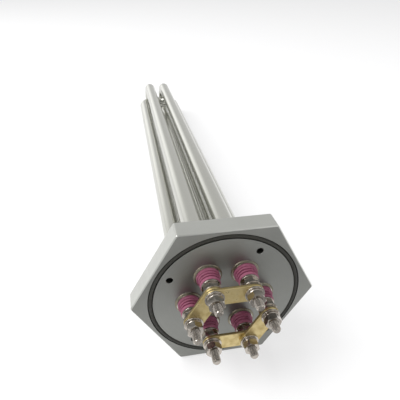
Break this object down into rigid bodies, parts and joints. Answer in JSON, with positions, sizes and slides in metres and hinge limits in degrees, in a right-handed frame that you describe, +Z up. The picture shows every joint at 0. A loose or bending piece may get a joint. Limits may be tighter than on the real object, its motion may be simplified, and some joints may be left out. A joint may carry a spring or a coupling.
{
  "type": "screw-in tubular immersion heater",
  "caption": "Hexagonal screw plug carrying hairpin tubular heating elements, with ceramic-bushed stud terminals joined by brass links.",
  "frame": {"origin": "centre of the plug's sealing face, which is the back of the hexagonal head, on the plug's axis", "axes": "+Y along the tubes into the tank, -Y towards the terminals, +Z up towards one flat of the hexagon, +X to the right seen from the terminals"},
  "size_m": [0.0922, 0.4152, 0.08],
  "materials": {
    "machined_stainless": "turned and milled stainless steel, satin",
    "tube_stainless": "drawn stainless tube, satin, polished along its length",
    "seal_rubber": "black, matte",
    "magnesia": "compacted powder, matte",
    "resistance_wire": "wound nickel-chromium wire",
    "plated_steel": "nickel plated, semi-bright",
    "pink_ceramic": "mauve-pink, fired, matte",
    "link_brass": "rolled strip, slightly dulled"
  },
  "bodies": {
    "root": {"hex_plug": "machined_stainless", "cover_seal_ring": "seal_rubber", "sheath_left": "tube_stainless", "sheath_right": "tube_stainless", "sheath_cross": "tube_stainless", "magnesia_fill_left": "magnesia", "magnesia_fill_right": "magnesia", "magnesia_fill_cross": "magnesia", "resistance_coil_left": "resistance_wire", "resistance_coil_right": "resistance_wire", "resistance_coil_cross": "resistance_wire", "terminal_stud_1": "plated_steel", "terminal_stud_2": "plated_steel", "terminal_stud_3": "plated_steel", "terminal_stud_4": "plated_steel", "terminal_stud_5": "plated_steel", "terminal_stud_6": "plated_steel", "ceramic_bush_1": "pink_ceramic", "ceramic_bush_2": "pink_ceramic", "ceramic_bush_3": "pink_ceramic", "ceramic_bush_4": "pink_ceramic", "ceramic_bush_5": "pink_ceramic", "ceramic_bush_6": "pink_ceramic", "base_washers": "plated_steel", "base_nuts": "plated_steel", "link_washers": "plated_steel", "link_spacers": "plated_steel", "brass_link_1_2": "link_brass", "brass_link_1_6": "link_brass", "brass_link_3_4": "link_brass", "brass_link_4_5": "link_brass", "upper_washers": "plated_steel", "spring_washers": "plated_steel", "top_nuts": "plated_steel"}
  },
  "joints": []
}
